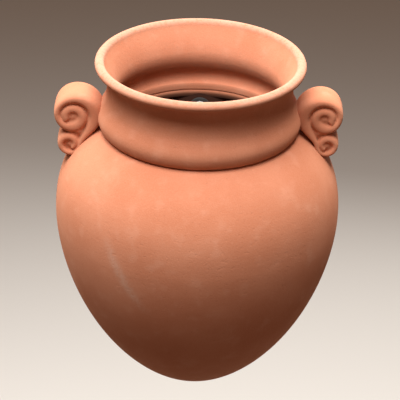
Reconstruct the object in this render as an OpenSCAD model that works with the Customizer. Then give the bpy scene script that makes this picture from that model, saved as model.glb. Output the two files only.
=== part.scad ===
// Wall-hung terracotta pot: a round pot with a rolled lip and two scroll
// handles, sliced flat down its back and closed there with a clay slab.
// One screw through the slab, with its washers and wall plug, hangs it.
//
// Frame: the wall is the plane Y = 0 and the pot stands in front of it, at
// negative Y. +Z is up. The origin is where the screw's axis meets the wall.
// The clay parts are drawn upright on the pot's own axis, with the base at
// Z = 0, and hang() then leans that axis out from the wall and places it.

/* [Belly] */
// Widest diameter of the belly
belly_d = 194.5; // [180:0.5:205]
// Height of the widest point above the base
belly_z = 129.5; // [122:0.5:136]
// Depth from the widest point to where the round bottom would close
bottom_depth = 136.6; // [133:0.1:142]
// Thickness of the thrown wall
clay_t = 7; // [6:0.5:8]
// Diameter of the drain hole
drain_d = 10; // [6:1:12]

/* [Neck] */
// Height of the groove where the neck is joined to the shoulder
neck_z = 191.5; // [188:0.5:194]
// Diameter at the groove
groove_d = 128.2; // [126:0.1:130]
// Diameter of the collar, the bulge above the groove
collar_d = 136.8; // [134:0.1:138]
// Narrowest outside diameter of the neck
throat_d = 124.2; // [123:0.1:126]
// Outside diameter of the rolled lip
lip_d = 140; // [139:0.5:142]
// Thickness of the rolled lip
lip_roll_d = 6.4; // [5.6:0.1:7]

/* [Back] */
// Angle between the pot's axis and the wall
lean = 15; // [12:0.5:16]
// Clearance between the back of the lip and the sliced plane
lip_gap = 6.5; // [5.5:0.5:8]
// Thickness of the slab that closes the back
slab_t = 6; // [5:0.5:8]
// Drop from the back of the rim down to the screw
hole_drop = 64; // [59:0.5:66]
// Diameter of the screw hole, which clears the collar of the plug
hole_d = 8.5; // [8:0.1:9.5]

/* [Handles] */
// Width of the handle strap, front to back
strap_w = 25; // [20:1:26]
// Depth of the spiral that shows between the turns of each roll
spiral_depth = 1.8; // [1:0.1:2.5]
// Width of the spiral
spiral_w = 1.2; // [0.8:0.1:1.6]
// Size of the right handle against the left one
right_size = 0.96; // [0.94:0.01:1]
// Height of the right handle above the left one
right_lift = 2.2; // [0:0.1:3]

/* [Fixings] */
// Diameter of the screw
screw_d = 5; // [4.5:0.1:5.5]
// Length of the screw under its head
screw_l = 60; // [50:1:70]
// Diameter of the screw head
head_d = 9.5; // [9:0.1:10.5]
// Height of the screw head
head_h = 3.4; // [3:0.1:4]
// Outside diameter of the steel washer
washer_d = 11; // [10.5:0.5:13]
// Outside diameter of the rubber washer
pad_d = 16; // [14:1:18]
// Diameter of the wall plug
plug_d = 8; // [7:0.5:10]
// Length of the wall plug
plug_l = 40; // [35:1:45]

/* [Hidden] */
$fn = 96;

TERRACOTTA = [0.80, 0.46, 0.33];
ZINC = [0.78, 0.79, 0.78];
RUBBER = [0.10, 0.10, 0.11];
NYLON = [0.62, 0.63, 0.62];

// Radii from the driving diameters
belly_r = belly_d / 2;
groove_r = groove_d / 2;
collar_r = collar_d / 2;
throat_r = throat_d / 2;
mouth_r = groove_r - clay_t;
lip_roll_r = lip_roll_d / 2;
lip_r = lip_d / 2 - lip_roll_r;
lip_z = neck_z + 46;

// Bends of the two curves that make the belly: how square the round bottom
// is, and how the shoulder rises and then turns in to the groove
BOTTOM_BEND = 1.75;
SHOULDER_RISE = 2.3;
SHOULDER_TURN = 1.4;
PROFILE_STEPS = 20;

// The slab's bearing washers, and where the head of the screw starts
PAD_T = 2;
WASHER_T = 1.2;
BORE_CLEARANCE = 0.3;
head_y = -slab_t - PAD_T - WASHER_T;

// The wall in the leaned frame, before the origin is moved to the screw
wall_y = (lip_d / 2 + lip_gap) * cos(lean) - lip_z * sin(lean);
hole_z = lip_r * sin(lean) + (lip_z + lip_roll_r) * cos(lean) - hole_drop;
FAR = 400;

// A Catmull-Rom curve through the points p, with n steps between each two
function blend(a, b, c, d, t) =
    ((2 * b) + (c - a) * t + (2 * a - 5 * b + 4 * c - d) * pow(t, 2)
     + (3 * b - a - 3 * c + d) * pow(t, 3)) / 2;
function smooth(p, n) = [
    for (i = [0:len(p) - 2], k = [0:n - 1])
        blend(p[max(i - 1, 0)], p[i], p[i + 1], p[min(i + 2, len(p) - 1)], k / n),
    p[len(p) - 1]
];
// Points on a circle from one angle to another
function arc(centre, r, from, to, n) = [
    for (k = [0:n]) let (a = from + (to - from) * k / n) centre + r * [cos(a), sin(a)]
];
function reversed(p) = [for (i = [len(p) - 1:-1:0]) p[i]];

// Radius of the round bottom, u = 0 at the widest point and 1 where it closes
function bottom_r(r, u) = r * pow(1 - pow(u, BOTTOM_BEND), 1 / BOTTOM_BEND);
// Radius of the shoulder, u = 0 at the widest point and 1 at the neck
function shoulder_r(r, end_r, u) =
    end_r + (r - end_r) * pow(max(0, 1 - pow(u, SHOULDER_RISE)), 1 / SHOULDER_TURN);
// A belly curve from a flat floor up to the neck, as [radius, height] points.
// The steps are even in the sine of the height, so they crowd where it turns.
function belly_curve(r, floor_z, close_depth, top_r, top_z) =
    let (start = asin((belly_z - floor_z) / close_depth)) concat(
        [for (k = [0:PROFILE_STEPS]) let (u = sin(start * (1 - k / PROFILE_STEPS)))
            [bottom_r(r, u), belly_z - close_depth * u]],
        [for (k = [1:PROFILE_STEPS]) let (u = sin(90 * k / PROFILE_STEPS))
            [shoulder_r(r, top_r, u), belly_z + (top_z - belly_z) * u]]);

SHOULDER_T = 5.5;
belly_out = belly_curve(belly_r, 0, bottom_depth, groove_r, neck_z);
belly_in = belly_curve(belly_r - clay_t, clay_t + 1, bottom_depth - clay_t - 3,
                       mouth_r, neck_z - SHOULDER_T);

// The neck outside, as [radius, height above the joint]: groove, collar,
// throat, and the flare that runs in under the lip
neck_out = smooth([
    [groove_r, 0], [collar_r - 2, 1.6], [collar_r - 0.6, 4.6], [collar_r, 8.6],
    [collar_r - 0.7, 12.6], [collar_r - 2.8, 16.8], [throat_r + 1.3, 21], [throat_r + 0.1, 26],
    [throat_r, 31], [throat_r + 1.1, 36.5], [throat_r + 3.3, 42]], 4);
// The neck inside, from the lip down: flare, throat, hollow collar, joint edge
neck_in = smooth([
    [lip_r - lip_roll_r, 46], [throat_r - 0.3, 42.5], [throat_r - 2.9, 37.5],
    [throat_r - 5.2, 32], [throat_r - 6.5, 27], [throat_r - 6.3, 22],
    [throat_r - 4.5, 17], [collar_r - 8.4, 13], [collar_r - 7, 9.8],
    [collar_r - 7.6, 7.2], [mouth_r + 1.8, 5.4], [mouth_r + 0.1, 4.4], [mouth_r, 3.4]], 4);
neck_curve = concat(neck_out,
                    arc([lip_r, lip_z - neck_z], lip_roll_r, -60, 176, 16),
                    neck_in, [[mouth_r, 0]]);

// The handle is a strap of clay in the plane of radius and height, rolled up
// over the top at one end and under at the other. A roll is the radius of its
// outside at every quarter turn, starting on the pot's side. The turns touch,
// so each turn's inside is the next turn's outside.
upper_at = [84, 201];
upper_roll = [20.4, 16.2, 13.1, 12.5, 10, 9.6, 8.6, 3, 2.6];
upper_hollow_r = 2.6;
lower_at = [86.3, 181];
lower_roll = [8.9, 9.4, 8.9, 8.5, 5.8, 5.2, 4.4, 1.8, 1.6];
lower_hollow_r = 1.6;
ROLL_STEP = 10;
ROLLS_MEET = 240;
SPIRAL_STEP = 15;

function roll_r(roll, a) =
    let (q = a / 90, i = floor(q), last = len(roll) - 1)
        blend(roll[max(i - 1, 0)], roll[min(i, last)], roll[min(i + 1, last)],
              roll[min(i + 2, last)], q - i);
// A point on a roll, up = 1 for one that rolls over the top and -1 for one that rolls under
function roll_point(at, up, r, a) = at + r * [-cos(a), up * sin(a)];
// The outside of a roll, from one angle to another
function roll_outside(at, roll, up, from, to) = [
    for (a = [from:ROLL_STEP * sign(to - from):to]) roll_point(at, up, roll_r(roll, a), a)
];
// The spiral between the turns, as a thin band from one angle to another
function spiral(at, roll, up, from, to) = concat(
    [for (a = [from:SPIRAL_STEP:to]) roll_point(at, up, roll_r(roll, a) + spiral_w / 2, a)],
    [for (a = [to:-SPIRAL_STEP:from]) roll_point(at, up, roll_r(roll, a) - spiral_w / 2, a)]);

// The handle's outline in the plane of radius and height: round the upper roll to
// where the rolls meet, round the lower one, and back up inside the pot's skin
handle_outline = concat(
    roll_outside(upper_at, upper_roll, 1, 0, ROLLS_MEET),
    roll_outside(lower_at, lower_roll, -1, ROLLS_MEET, 0),
    [lower_at - [lower_roll[0] + 2, 4], upper_at - [upper_roll[0], 10]]);

// Leans a part drawn on the pot's upright axis and places it at the wall
module hang() {
    translate([0, -wall_y, -hole_z]) rotate([lean, 0, 0]) children();
}

// Everything behind the wall's plane
module behind_wall() {
    translate([-FAR / 2, 0, -FAR]) cube([FAR, FAR, 2 * FAR]);
}

// A cylinder along +Y from y = from to y = to
module rod_y(d, from, to) {
    translate([0, from, 0]) rotate([-90, 0, 0]) cylinder(d = d, h = to - from);
}

// The round belly as a solid, with no back cut off
module whole_belly() {
    rotate_extrude() polygon(concat([[0, 0]], belly_out, [[0, neck_z]]));
}

// The hollow inside the belly, open up to the joint
module belly_hollow() {
    rotate_extrude() polygon(concat([[0, clay_t + 1]], belly_in, [[mouth_r, neck_z + 1], [0, neck_z + 1]]));
}

// The neck as a solid plug, used to seat the handles against it
module whole_neck() {
    translate([0, 0, neck_z]) rotate_extrude() polygon(concat([[0, 0]], neck_out, [[0, lip_z - neck_z - 4]]));
}

module belly() {
    color(TERRACOTTA) difference() {
        hang() difference() {
            whole_belly();
            belly_hollow();
            translate([0, -7, -1]) cylinder(d = drain_d, h = clay_t + 20);
        }
        behind_wall();
    }
}

module neck_collar() {
    color(TERRACOTTA) difference() {
        hang() translate([0, 0, neck_z]) rotate_extrude() polygon(neck_curve);
        behind_wall();
    }
}

// The slab fills the sliced opening, flush with the cut edge of the belly
module back_slab() {
    color(TERRACOTTA) difference() {
        intersection() {
            hang() intersection() {
                belly_hollow();
                cylinder(r = belly_r, h = neck_z);
            }
            translate([-FAR / 2, -slab_t, -FAR]) cube([FAR, slab_t, 2 * FAR]);
        }
        rod_y(hole_d, -slab_t - 1, 1);
    }
}

// What is pressed in between the turns on the front and the back
module scroll_spirals() {
    polygon(spiral(upper_at, upper_roll, 1, 300, 630));
    polygon(spiral(lower_at, lower_roll, -1, 315, 630));
    translate(upper_at) circle(r = upper_hollow_r);
    translate(lower_at) circle(r = lower_hollow_r);
}

// One handle, rolled from a strap and pressed against the neck and shoulder.
// The right one is a little smaller: it is scaled about its upper roll, which
// then moves in to stay on the neck.
module scroll(size, lift, side) {
    centre = upper_at + [(size - 1) * (upper_at.x - groove_r), lift];
    color(TERRACOTTA) hang() difference() {
        mirror([side < 0 ? 1 : 0, 0, 0])
            translate([centre.x, 0, centre.y]) rotate([90, 0, 0]) scale(size)
                translate(-upper_at) difference() {
                    linear_extrude(height = strap_w, center = true) polygon(handle_outline);
                    for (face = [-1, 1])
                        translate([0, 0, face * strap_w / 2])
                            linear_extrude(height = 2 * spiral_depth, center = true) scroll_spirals();
                }
        whole_belly();
        whole_neck();
    }
}

module left_scroll() {
    scroll(1, 0, -1);
}

module right_scroll() {
    scroll(right_size, right_lift, 1);
}

// Pan-head screw: cross recess, plain shank to the plug, pointed end
module wall_screw() {
    point_l = screw_d;
    color(ZINC) difference() {
        union() {
            rod_y(screw_d, head_y, head_y + screw_l - point_l);
            translate([0, head_y + screw_l - point_l, 0]) rotate([-90, 0, 0])
                cylinder(d1 = screw_d, d2 = 0.6, h = point_l);
            intersection() {
                rod_y(head_d, head_y - head_h, head_y);
                translate([0, head_y - head_h + head_d * 0.8, 0]) sphere(r = head_d * 0.8);
            }
        }
        for (turn = [0, 90])
            rotate([0, turn, 0]) translate([-head_d * 0.28, head_y - head_h - 1, -0.5])
                cube([head_d * 0.56, 3, 1]);
    }
}

module steel_washer() {
    color(ZINC) difference() {
        rod_y(washer_d, head_y, head_y + WASHER_T);
        rod_y(screw_d + BORE_CLEARANCE, head_y - 1, head_y + WASHER_T + 1);
    }
}

module rubber_washer() {
    color(RUBBER) difference() {
        rod_y(pad_d, -slab_t - PAD_T, -slab_t);
        rod_y(screw_d + BORE_CLEARANCE, -slab_t - PAD_T - 1, -slab_t + 1);
    }
}

// The plug's bore is the screw's own size: the thread grips it all the way
module wall_plug() {
    color(NYLON) difference() {
        rod_y(plug_d, 0, plug_l);
        rod_y(screw_d, -1, plug_l + 1);
    }
}

belly();
neck_collar();
back_slab();
left_scroll();
right_scroll();
wall_screw();
steel_washer();
rubber_washer();
wall_plug();
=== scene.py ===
"""Dresses a wall-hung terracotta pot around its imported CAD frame.

The clay parts are worked out upright on the pot's own axis, in millimetres with
the base at height 0. Hang then leans that axis out from the wall and moves the
screw to the origin, and what would stand behind the wall is cut off flat.
"""

import logging
import math
from dataclasses import dataclass, field
from enum import Enum

import bmesh
import bpy
import numpy as np
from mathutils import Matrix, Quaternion, Vector


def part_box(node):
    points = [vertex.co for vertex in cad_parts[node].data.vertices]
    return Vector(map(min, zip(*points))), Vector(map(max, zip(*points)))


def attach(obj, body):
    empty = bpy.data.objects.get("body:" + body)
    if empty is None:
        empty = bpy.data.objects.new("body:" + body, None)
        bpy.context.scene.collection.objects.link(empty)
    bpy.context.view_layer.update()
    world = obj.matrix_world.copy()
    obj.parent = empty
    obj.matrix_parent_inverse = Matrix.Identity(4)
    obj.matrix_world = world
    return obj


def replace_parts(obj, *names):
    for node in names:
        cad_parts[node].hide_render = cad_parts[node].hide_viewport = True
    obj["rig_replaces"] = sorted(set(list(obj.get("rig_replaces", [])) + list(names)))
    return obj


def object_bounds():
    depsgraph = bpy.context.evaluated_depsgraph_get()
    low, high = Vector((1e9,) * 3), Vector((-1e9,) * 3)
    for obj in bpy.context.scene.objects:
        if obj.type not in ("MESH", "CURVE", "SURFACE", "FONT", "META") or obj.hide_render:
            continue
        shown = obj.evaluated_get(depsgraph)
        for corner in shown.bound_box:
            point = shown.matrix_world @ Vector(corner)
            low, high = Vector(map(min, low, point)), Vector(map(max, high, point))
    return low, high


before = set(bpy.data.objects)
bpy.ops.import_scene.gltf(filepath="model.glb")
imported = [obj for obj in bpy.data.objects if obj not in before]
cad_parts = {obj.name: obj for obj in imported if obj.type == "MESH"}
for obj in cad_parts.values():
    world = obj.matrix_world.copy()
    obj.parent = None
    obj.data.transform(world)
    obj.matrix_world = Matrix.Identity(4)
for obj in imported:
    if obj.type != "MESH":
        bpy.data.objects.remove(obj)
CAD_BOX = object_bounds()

LOG = logging.getLogger("wall_pot")
MM = 0.001
TAU = 2 * np.pi
BODY = "root"
# The numbers of a colour Mix node's sockets, some of which share a name.
MIX_SHARE, MIX_UNDER, MIX_OVER, MIX_RESULT = 0, 6, 7, 2


class Slot(Enum):
    """The material slots of the record."""

    BELLY = "thrown_clay"
    NECK = "neck_clay"
    SLAB = "slab_clay"
    HANDLE = "handle_clay"
    ZINC = "zinc_steel"
    RUBBER = "black_rubber"
    NYLON = "grey_nylon"


class Side(Enum):
    """Which side of the pot a handle is on, as the sign of its X."""

    LEFT = -1
    RIGHT = 1


# ---------------------------------------------------------------- sizes


@dataclass(frozen=True)
class PotSizes:
    """Driving sizes of the clay in millimetres, the ones that the CAD model has."""

    belly_r: float = 97.25
    belly_z: float = 129.5
    bottom_depth: float = 136.6
    clay_t: float = 7.0
    floor_t: float = 8.0
    drain_r: float = 5.0
    drain_y: float = -7.0
    neck_z: float = 191.5
    groove_r: float = 64.1
    collar_r: float = 68.4
    throat_r: float = 62.1
    lip_outer_r: float = 70.0
    lip_roll_r: float = 3.2
    lip_height: float = 46.0
    shoulder_t: float = 5.5
    lean_deg: float = 15.0
    lip_gap: float = 6.5
    slab_t: float = 6.0
    hole_drop: float = 64.0
    hole_r: float = 4.25
    right_size: float = 0.96
    right_lift: float = 2.2

    @property
    def mouth_r(self) -> float:
        """Inner radius of the joint between the belly and the neck."""
        return self.groove_r - self.clay_t

    @property
    def lip_r(self) -> float:
        """Radius of the middle line of the rolled lip."""
        return self.lip_outer_r - self.lip_roll_r

    @property
    def lip_z(self) -> float:
        """Height of the middle line of the rolled lip."""
        return self.neck_z + self.lip_height


@dataclass(frozen=True)
class Hang:
    """How the upright pot is placed: leaned out from the wall, its screw at the origin."""

    sizes: PotSizes

    @property
    def lean(self) -> float:
        """Angle between the pot's axis and the wall, in radians."""
        return math.radians(self.sizes.lean_deg)

    @property
    def offset(self) -> np.ndarray:
        """Where the middle of the pot's base ends up, in millimetres.

        The back of the lip stays lip_gap clear of the wall's plane, and the screw
        is hole_drop below the top of the rim at the back.
        """
        s = self.sizes
        wall = (s.lip_outer_r + s.lip_gap) * math.cos(self.lean) - s.lip_z * math.sin(self.lean)
        top = s.lip_r * math.sin(self.lean) + (s.lip_z + s.lip_roll_r) * math.cos(self.lean)
        return np.array([0.0, -wall, s.hole_drop - top])

    @property
    def turn(self) -> np.ndarray:
        """The matrix that leans row vectors about X."""
        c, s = math.cos(self.lean), math.sin(self.lean)
        return np.array([[1, 0, 0], [0, c, s], [0, -s, c]])

    def place(self, upright: np.ndarray) -> np.ndarray:
        """Turns upright points about X by the lean, then moves them by the offset.

        Args:
            upright: points on the pot's own axis, (..., 3), in millimetres.

        Returns:
            The same points in the wall's frame, in millimetres.
        """
        return upright @ self.turn + self.offset

    def upright(self, placed: np.ndarray) -> np.ndarray:
        """Undoes place(): points in the wall's frame, as points on the pot's own axis."""
        return (placed - self.offset) @ self.turn.T

    def wall_at(self, height: np.ndarray) -> np.ndarray:
        """Distance from the pot's axis back to the wall's plane, at a height on the axis."""
        return (height * math.sin(self.lean) - self.offset[1]) / math.cos(self.lean)

    def upright_mapping(self) -> tuple[tuple[float, ...], tuple[float, ...]]:
        """Location and rotation of a Mapping node that stands the leaned pot upright.

        Returns:
            The location in metres and the rotation in radians, so that the mapped
            coordinates have the pot's axis as Z and its base at 0.
        """
        c, s = math.cos(self.lean), math.sin(self.lean)
        _, y, z = self.offset * MM
        return (0.0, -(c * y + s * z), -(c * z - s * y)), (-self.lean, 0.0, 0.0)


# ------------------------------------------------------------- surfaces


def smooth_curve(points: list[tuple[float, float]], steps: int) -> np.ndarray:
    """A Catmull-Rom curve through the points.

    Each stretch is the cubic (2b + (c-a)t + (2a-5b+4c-d)t^2 + (3b-a-3c+d)t^3) / 2
    between b and c, with a and d the points before and after.

    Args:
        points: the points that the curve passes through.
        steps: how many steps each stretch has.

    Returns:
        The points of the curve, (n, 2).
    """
    p = np.asarray(points, float)
    i = np.arange(len(p) - 1)
    a, b, c = p[np.maximum(i - 1, 0)], p[i], p[i + 1]
    d = p[np.minimum(i + 2, len(p) - 1)]
    t = (np.arange(steps) / steps)[None, :, None]
    cubic = (2 * b)[:, None] + (c - a)[:, None] * t + (2 * a - 5 * b + 4 * c - d)[:, None] * t**2
    cubic = (cubic + (3 * b - a - 3 * c + d)[:, None] * t**3) / 2
    return np.vstack([cubic.reshape(-1, 2), p[-1:]])


def arc(centre: tuple[float, float], radius: float, start: float, end: float, steps: int) -> np.ndarray:
    """Points on a circle, centre + radius (cos a, sin a), from one angle to another in degrees."""
    a = np.radians(np.linspace(start, end, steps + 1))
    return np.asarray(centre) + radius * np.stack([np.cos(a), np.sin(a)], axis=-1)


def evenly(curve: np.ndarray, spacing: float = 1.0, loop_points: int = 0) -> np.ndarray:
    """Puts points along a line at even distances, its two ends kept.

    Args:
        curve: the points of the line, (n, k).
        spacing: the distance wanted between points.
        loop_points: how many points to put instead on a line that ends where it
            starts, its end left out.

    Returns:
        The new points, (m, k).
    """
    length = np.concatenate([[0], np.cumsum(np.linalg.norm(np.diff(curve, axis=0), axis=1))])
    count = loop_points or max(2, int(round(length[-1] / spacing)) + 1)
    at = np.linspace(0, length[-1], count, endpoint=not loop_points)
    return np.stack([np.interp(at, length, curve[:, k]) for k in range(curve.shape[1])], axis=-1)


def full_turn(count: int) -> np.ndarray:
    """The angles of a full turn in even steps, in radians, its end left out."""
    return np.arange(count) * TAU / count


def revolve(rings: np.ndarray, turns: int) -> np.ndarray:
    """A surface of circles: point (i, j) is ring i's circle at angle j.

    Args:
        rings: radius, height and the Y of the circle's centre, (n, 3).
        turns: how many points each circle has.

    Returns:
        Points (n, turns, 3), each (r cos a, y + r sin a, height).
    """
    a = full_turn(turns)
    r, height, y = (rings[:, k, None] for k in range(3))
    return np.stack(np.broadcast_arrays(r * np.cos(a), y + r * np.sin(a), height), axis=-1)


def grid_faces(rows: int, cols: int, wrap_rows: bool, wrap_cols: bool) -> np.ndarray:
    """The quads of a grid of rows by cols points, numbered row by row.

    Args:
        rows: points in the first direction.
        cols: points in the second direction.
        wrap_rows: whether the last row joins the first.
        wrap_cols: whether the last column joins the first.

    Returns:
        Corner numbers, (m, 4).
    """
    i, j = np.meshgrid(
        np.arange(rows - (not wrap_rows)), np.arange(cols - (not wrap_cols)), indexing="ij"
    )
    i2, j2 = (i + 1) % rows, (j + 1) % cols
    return np.stack([i * cols + j, i * cols + j2, i2 * cols + j2, i2 * cols + j], -1).reshape(-1, 4)


def waves(*angles: np.ndarray, seed: int, count: int = 6) -> np.ndarray:
    """A smooth random field from 0 to 1: a sum of sines, each with its own direction and phase.

    Args:
        angles: the coordinates in radians, one array for each direction.
        seed: seed of the random draw.
        count: how many sines are added.

    Returns:
        An array of the coordinates' shape.
    """
    rng = np.random.default_rng(seed)
    total = 0.0
    for _ in range(count):
        turns = rng.integers(1, 4, len(angles)) * rng.choice([-1, 1], len(angles))
        total = total + np.sin(sum(n * a for n, a in zip(turns, angles)) + rng.uniform(0, TAU))
    return 0.5 + 0.5 * total / count


# --------------------------------------------------------------- meshes


def put(name: str, data: bpy.types.ID) -> bpy.types.Object:
    """Adds an object with this data to the scene."""
    thing = bpy.data.objects.new(name, data)
    bpy.context.scene.collection.objects.link(thing)
    return thing


def make_piece(name: str, points_mm: np.ndarray, faces: np.ndarray) -> bpy.types.Object:
    """A smooth-shaded mesh object at the origin from points and faces, its doubles merged.

    Args:
        name: the piece's name.
        points_mm: points in the wall's frame, in millimetres, any shape that ends in 3.
        faces: corner numbers.

    Returns:
        The new object, with its faces outward.
    """
    mesh = bpy.data.meshes.new(name)
    mesh.from_pydata((points_mm.reshape(-1, 3) * MM).tolist(), [], faces.tolist())
    piece = put(name, mesh)
    tidy_mesh(piece)
    return piece


def tidy_mesh(piece: bpy.types.Object, merge_mm: float = 0.004) -> None:
    """Merges doubles, turns the faces outward and shades them smooth.

    Args:
        piece: the mesh object.
        merge_mm: points closer than this become one, in millimetres.
    """
    work = bmesh.new()
    work.from_mesh(piece.data)
    bmesh.ops.remove_doubles(work, verts=work.verts, dist=merge_mm * MM)
    bmesh.ops.dissolve_degenerate(work, edges=work.edges, dist=merge_mm * MM)
    bmesh.ops.recalc_face_normals(work, faces=work.faces)
    for face in work.faces:
        face.smooth = True
    work.to_mesh(piece.data)
    work.free()


def slice_at_wall(piece: bpy.types.Object, touch_mm: float = 0.001, merge_mm: float = 0.05) -> None:
    """Cuts off what stands behind the wall's plane Y = 0 and closes the cut flat.

    Args:
        piece: the mesh object.
        touch_mm: points this close to the plane count as on it.
        merge_mm: points on the cut closer than this become one.
    """
    work = bmesh.new()
    work.from_mesh(piece.data)
    everything = work.verts[:] + work.edges[:] + work.faces[:]
    bmesh.ops.bisect_plane(
        work, geom=everything, dist=touch_mm * MM, plane_co=(0, 0, 0), plane_no=(0, 1, 0),
        clear_outer=True,
    )
    bmesh.ops.remove_doubles(work, verts=work.verts, dist=merge_mm * MM)
    rim = [edge for edge in work.edges if edge.is_boundary]
    bmesh.ops.triangle_fill(work, use_beauty=True, edges=rim, normal=(0, 1, 0))
    work.to_mesh(piece.data)
    work.free()
    tidy_mesh(piece)


def soften_edges(piece: bpy.types.Object, width_mm: float, angle_deg: float = 40) -> None:
    """Rounds every edge that is sharper than an angle.

    Args:
        piece: the mesh object.
        width_mm: how far the rounding reaches from the edge, in millimetres.
        angle_deg: edges that turn less than this stay as they are.
    """
    bevel = piece.modifiers.new("softened_edges", "BEVEL")
    bevel.width = width_mm * MM
    bevel.segments = 3
    bevel.limit_method = "ANGLE"
    bevel.angle_limit = math.radians(angle_deg)
    bevel.use_clamp_overlap = True
    bevel.harden_normals = False


# ------------------------------------------------------------ materials


def linear(hex_colour: str) -> tuple[float, float, float, float]:
    """The linear colour of an sRGB hex value, with full alpha.

    Below 0.04045 a channel is divided by 12.92, and above it is
    ((c + 0.055) / 1.055) to the power 2.4.

    Args:
        hex_colour: the colour as #rrggbb.

    Returns:
        Red, green, blue and alpha.
    """
    c = np.array([int(hex_colour[i : i + 2], 16) for i in (1, 3, 5)]) / 255
    c = np.where(c <= 0.04045, c / 12.92, ((c + 0.055) / 1.055) ** 2.4)
    return (*(float(x) for x in c), 1.0)


@dataclass
class NodeBench:
    """A material's node tree, with a short way to add each kind of node that is used often."""

    name: str
    material: bpy.types.Material = field(init=False)
    shader: bpy.types.Node = field(init=False)

    def __post_init__(self) -> None:
        """Starts the material with a principled shader at its output."""
        self.material = bpy.data.materials.new(self.name)
        self.material.use_nodes = True
        self.material.node_tree.nodes.clear()
        self.shader = self.add("ShaderNodeBsdfPrincipled")
        self.add("ShaderNodeOutputMaterial", links={"Surface": (self.shader, "BSDF")})

    def add(self, kind: str, settings: dict | None = None, inputs: dict | None = None,
            links: dict | None = None) -> bpy.types.Node:
        """Adds a node.

        Args:
            kind: the node's Blender type.
            settings: properties of the node.
            inputs: constant values, by socket name or number.
            links: what each socket is fed from, as (node, output's name or number).

        Returns:
            The new node.
        """
        tree = self.material.node_tree
        node = tree.nodes.new(kind)
        for key, value in (settings or {}).items():
            setattr(node, key, value)
        for key, value in (inputs or {}).items():
            node.inputs[key].default_value = value
        for key, (source, output) in (links or {}).items():
            tree.links.new(source.outputs[output], node.inputs[key])
        return node

    def noise(self, place: bpy.types.Node, output: str | int, size_mm: float, detail: float,
              roughness: float = 0.5) -> bpy.types.Node:
        """Adds a noise.

        Args:
            place: the node that gives the coordinates.
            output: which of its outputs does.
            size_mm: how wide the noise's patches are.
            detail: how many finer noises are added to it.
            roughness: how strong those are.

        Returns:
            The new node.
        """
        return self.add(
            "ShaderNodeTexNoise",
            inputs={"Scale": 1 / (size_mm * MM), "Detail": detail, "Roughness": roughness},
            links={"Vector": (place, output)},
        )

    def ramp(self, pattern: bpy.types.Node, low: float, high: float, start: float = 0.0,
             end: float = 1.0, kind: str = "SMOOTHSTEP", output: str | int = 0) -> bpy.types.Node:
        """Adds a map of a pattern's values from low..high to start..end.

        Args:
            pattern: the node of the pattern.
            low: the pattern's value that becomes start.
            high: the pattern's value that becomes end.
            start: the result at low.
            end: the result at high.
            kind: Blender's name of the way between them.
            output: the pattern's output that is read.

        Returns:
            The new node.
        """
        return self.add(
            "ShaderNodeMapRange", settings={"interpolation_type": kind},
            inputs={"From Min": low, "From Max": high, "To Min": start, "To Max": end},
            links={"Value": (pattern, output)},
        )

    def mix(self, share: bpy.types.Node, under: str | bpy.types.Node, over: str,
            output: str | int = 0) -> bpy.types.Node:
        """Adds a mix that lays one colour over another.

        Args:
            share: the node that says how much of the upper colour shows.
            under: the lower colour, as a hex colour or as an earlier mix.
            over: the upper colour, as a hex colour.
            output: the output of share that is read.

        Returns:
            The new node.
        """
        inputs, links = {MIX_OVER: linear(over)}, {MIX_SHARE: (share, output)}
        if isinstance(under, str):
            inputs[MIX_UNDER] = linear(under)
        else:
            links[MIX_UNDER] = (under, MIX_RESULT)
        return self.add("ShaderNodeMix", settings={"data_type": "RGBA"}, inputs=inputs, links=links)

    def bump(self, height: bpy.types.Node, depth_mm: float,
             under: bpy.types.Node | None = None) -> bpy.types.Node:
        """Adds relief.

        Args:
            height: the node of its pattern.
            depth_mm: how deep it is where the pattern goes from 0 to 1.
            under: the relief that it lies on, where there is one.

        Returns:
            The new node.
        """
        links = {"Height": (height, 0)}
        if under is not None:
            links["Normal"] = (under, 0)
        return self.add(
            "ShaderNodeBump", inputs={"Strength": 1.0, "Distance": depth_mm * MM}, links=links
        )

    def times(self, *factors: tuple[bpy.types.Node, str | int]) -> bpy.types.Node:
        """Adds the product of two outputs, each given as (node, output's name or number)."""
        return self.add(
            "ShaderNodeMath", settings={"operation": "MULTIPLY"}, links=dict(enumerate(factors))
        )

    def feed(self, socket: str, node: bpy.types.Node, output: str | int) -> None:
        """Links a node's output to one of the shader's sockets."""
        self.material.node_tree.links.new(node.outputs[output], self.shader.inputs[socket])

    def constants(self, **values: float) -> None:
        """Sets constants on the shader's own sockets, a word of a name for each underscore."""
        for key, value in values.items():
            self.shader.inputs[key.replace("_", " ").title().replace("Ior", "IOR")].default_value = value


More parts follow.
